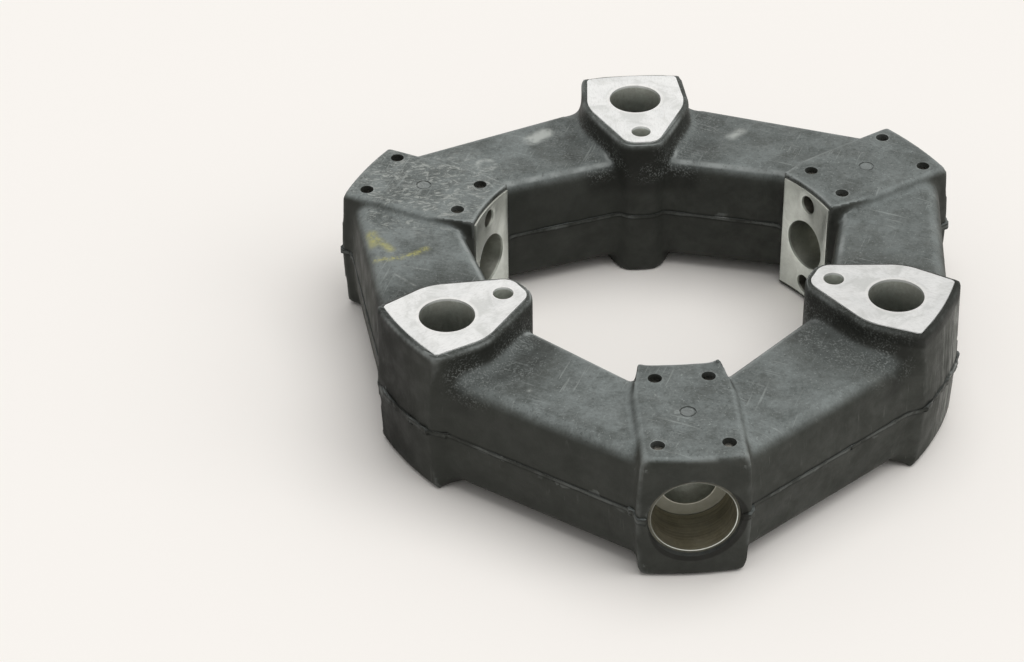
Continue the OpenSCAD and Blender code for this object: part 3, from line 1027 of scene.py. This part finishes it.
def bore_metal(tree, place, out, up, reach, at_end):
    """The colour in a radial insert's holes: a stained counterbore with turned rings, a greyer bore, and a
    painted highlight on the bore's edge at the seat.
    """
    rings = streaky_noise(tree, place, (1900, 50, 50), detail=4.0, rough=0.6)
    wall = blend(tree, rise(tree, rings, 0.42, 0.68, 0.0, 0.75), WALL_BROWN, RING_BROWN)
    inside = blend(tree, rise(tree, out, SEAT_R, SEAT_R + 0.6 * MM), BORE_GREY, wall)
    from_seat = maths(tree, "ABSOLUTE", maths(tree, "SUBTRACT", out, SEAT_R))
    by_seat = rise(tree, from_seat, 0.5 * MM, 0.3 * MM)
    inside = blend(tree, by_seat, inside, CORNER_GREY)
    # Painted highlight on the bore's edge where it meets the seat
    bore_edge_highlight = rise(tree, reach, SCREW_HOLE_R + 0.3 * MM, SCREW_HOLE_R + 0.2 * MM)
    inside = blend(tree, all_of(tree, by_seat, bore_edge_highlight), inside, BORE_EDGE_HIGHLIGHT_GREY)
    inside = blend(tree, at_end, inside, END_BLACK)
    in_dowel_holes = all_of(
        tree,
        rise(tree, reach, 9.0 * MM, 9.3 * MM),
        rise(tree, out, SEAT_R, SEAT_R - 2 * MM),
    )
    inside = blend(tree, in_dowel_holes, inside, DOWEL_HOLE_GREY)
    under_pins = rise(tree, maths(tree, "ABSOLUTE", up), 15 * MM, 15.6 * MM)
    return blend(tree, under_pins, inside, UNDER_PIN_GREY)


def radial_finish(number, angle):
    """Bored concave seat, warm grey, and a counterbore with turning lines and a bright rim, whose brightness
    towards the lower right is a painted highlight.
    """
    material, tree, surface = new_material(f"bored_seat_{number}")
    place = along_block(tree, object_place(tree), angle)
    out, beside, z = parts_of(tree, place)
    up = maths(tree, "SUBTRACT", z, MID_Z)
    reach = length_of(tree, up, beside)
    at_hub = rise(tree, length_of(tree, out, beside), HUB_R + 0.8 * MM, HUB_R + 0.4 * MM)
    at_end = rise(tree, out, INSERT_END_R - 0.3 * MM, INSERT_END_R - 0.15 * MM)
    # The bare rim of the counterbore: it shows little at the top, under the rubber lip, and its brightest
    # part at the lower right is a painted highlight
    bare_rim_and_highlight = all_of(
        tree,
        at_end,
        rise(tree, reach, HEAD_BORE_R + 0.25 * MM, HEAD_BORE_R + 0.15 * MM),
        rise(tree, to_low_right(tree, beside, up), -5 * MM, 9 * MM, 0.15, 1.0),
    )
    smudges = placed(tree, SMUDGES, place=place, size=8 * MM)
    lines = placed(tree, SCRATCHES, place=place, stretch=(1, 60, 2200))
    face = blend(tree, smudges, SEAT_GREY, SMUDGED_SEAT_GREY)
    face = blend(tree, eased(tree, lines, 0.4), face, SEAT_LINE_GREY)
    face_rough = rise(tree, smudges, 0.0, 1.0, 0.36, 0.5)
    inside = bore_metal(tree, place, out, up, reach, at_end)
    metal_finish(tree, surface, place, any_of(tree, at_hub, bare_rim_and_highlight), face, face_rough, inside)
    turns = maths(tree, "MULTIPLY", maths(tree, "ADD", reach, out), 2 * math.pi / TURNING_STEP)
    ripple = maths(tree, "MULTIPLY", maths(tree, "SINE", turns), 0.6)
    height = maths(tree, "ADD", placed(tree, GRAIN, place=place, size=0.3 * MM), ripple)
    roughen(tree, surface, height, 0.35, 0.012 * MM)
    return material


# The camera: degrees round the axis, above the floor and of tilt, its distance, and its step aside
CAMERA_TURN = -3.133
CAMERA_RAISED = 36.362
CAMERA_TILT = -0.687
CAMERA_AWAY = 734.21 * MM
CAMERA_RIGHT = -36.83 * MM
CAMERA_UP = -24.23 * MM
CAMERA_LENS = 103.941
CAMERA_SENSOR = 36

# Light: shares of the light on the floor, the ways that the lamps shine from, and their spread in degrees
SKY_SHARE = 0.42
KEY_SHARE = 0.5
KEY_WAY = Vector((0.2, 0.05, 1.0))
KEY_SPREAD = 60
SIDE_SHARE = 0.08
SIDE_WAY = Vector((1.0, -0.35, 0.7))
SIDE_SPREAD = 40
PALE = (0.947, 0.913, 0.871, 1)
FLOOR_SIZE = 6


def camera():
    """Looks down on the ring from the front, as in the photograph."""
    turn, raised, tilt = (math.radians(a) for a in (CAMERA_TURN, CAMERA_RAISED, CAMERA_TILT))
    right = Vector((math.cos(turn), math.sin(turn), 0))
    front = Vector((math.sin(turn), -math.cos(turn), 0))
    back = front * math.cos(raised) + Vector((0, 0, math.sin(raised)))
    up = back.cross(right)
    data = bpy.data.cameras.new("camera")
    data.lens = CAMERA_LENS
    data.sensor_width = CAMERA_SENSOR
    data.sensor_fit = "HORIZONTAL"
    data.clip_start = 0.01
    data.clip_end = 20
    eye = bpy.data.objects.new("camera", data)
    bpy.context.scene.collection.objects.link(eye)
    place = back * CAMERA_AWAY + right * CAMERA_RIGHT + up * CAMERA_UP
    level = Matrix((right, up, back)).transposed()
    eye.matrix_world = Matrix.Translation(place) @ (level @ Matrix.Rotation(tilt, 3, "Z")).to_4x4()
    bpy.context.scene.camera = eye


def soft_sun(name, way, share, spread):
    """A wide parallel light, with the share that it gives of the light on the floor."""
    data = bpy.data.lights.new(name, "SUN")
    data.angle = math.radians(spread)
    data.energy = share * math.pi / way.normalized().z
    lamp = bpy.data.objects.new(name, data)
    bpy.context.scene.collection.objects.link(lamp)
    lamp.location = way
    lamp.rotation_euler = way.to_track_quat("Z", "Y").to_euler()
    lamp.visible_glossy = False


def sky(share):
    """A plain sky, which the camera and polished metal see as the pale background."""
    world = bpy.data.worlds.new("studio")
    bpy.context.scene.world = world
    world.use_nodes = True
    tree = world.node_tree
    light = tree.nodes["Background"]
    light.inputs["Color"].default_value = (1, 1, 1, 1)
    light.inputs["Strength"].default_value = share
    pale = add_node(tree, "Background", {"Color": PALE, "Strength": 1.0})
    rays = add_node(tree, "LightPath").outputs
    seen = any_of(tree, *[rays[f"Is {kind} Ray"] for kind in ("Camera", "Glossy", "Transmission")])
    mixed = add_node(tree, "MixShader", {0: seen, 1: light.outputs[0], 2: pale.outputs[0]})
    tree.links.new(mixed.outputs[0], tree.nodes["World Output"].inputs["Surface"])


def pale_floor():
    bpy.ops.object.select_all(action="DESELECT")
    bpy.ops.mesh.primitive_plane_add(size=FLOOR_SIZE, location=(0, 0, FLOOR_Z))
    floor = settled()
    floor.name = "floor"
    material, _, surface = new_material("pale_floor")
    surface.inputs["Base Color"].default_value = PALE
    surface.inputs["Roughness"].default_value = 1.0
    surface.inputs["Specular IOR Level"].default_value = 0.0
    floor.data.materials.append(material)


bpy.context.scene.view_settings.view_transform = "Standard"
camera()
sky(SKY_SHARE)
soft_sun("key", KEY_WAY, KEY_SHARE, KEY_SPREAD)
soft_sun("side", SIDE_WAY, SIDE_SHARE, SIDE_SPREAD)
pale_floor()
rubber_ring()
for number, angle, tone in zip(INSERT_NUMBERS, AXIAL_ANGLES, AXIAL_TONES):
    insert_piece(f"axial_insert_{number}", axial_finish(number, angle, tone), AXIAL_EDGE)
for number, angle in zip(INSERT_NUMBERS, RADIAL_ANGLES):
    insert_piece(f"radial_insert_{number}", radial_finish(number, angle), RADIAL_EDGE)
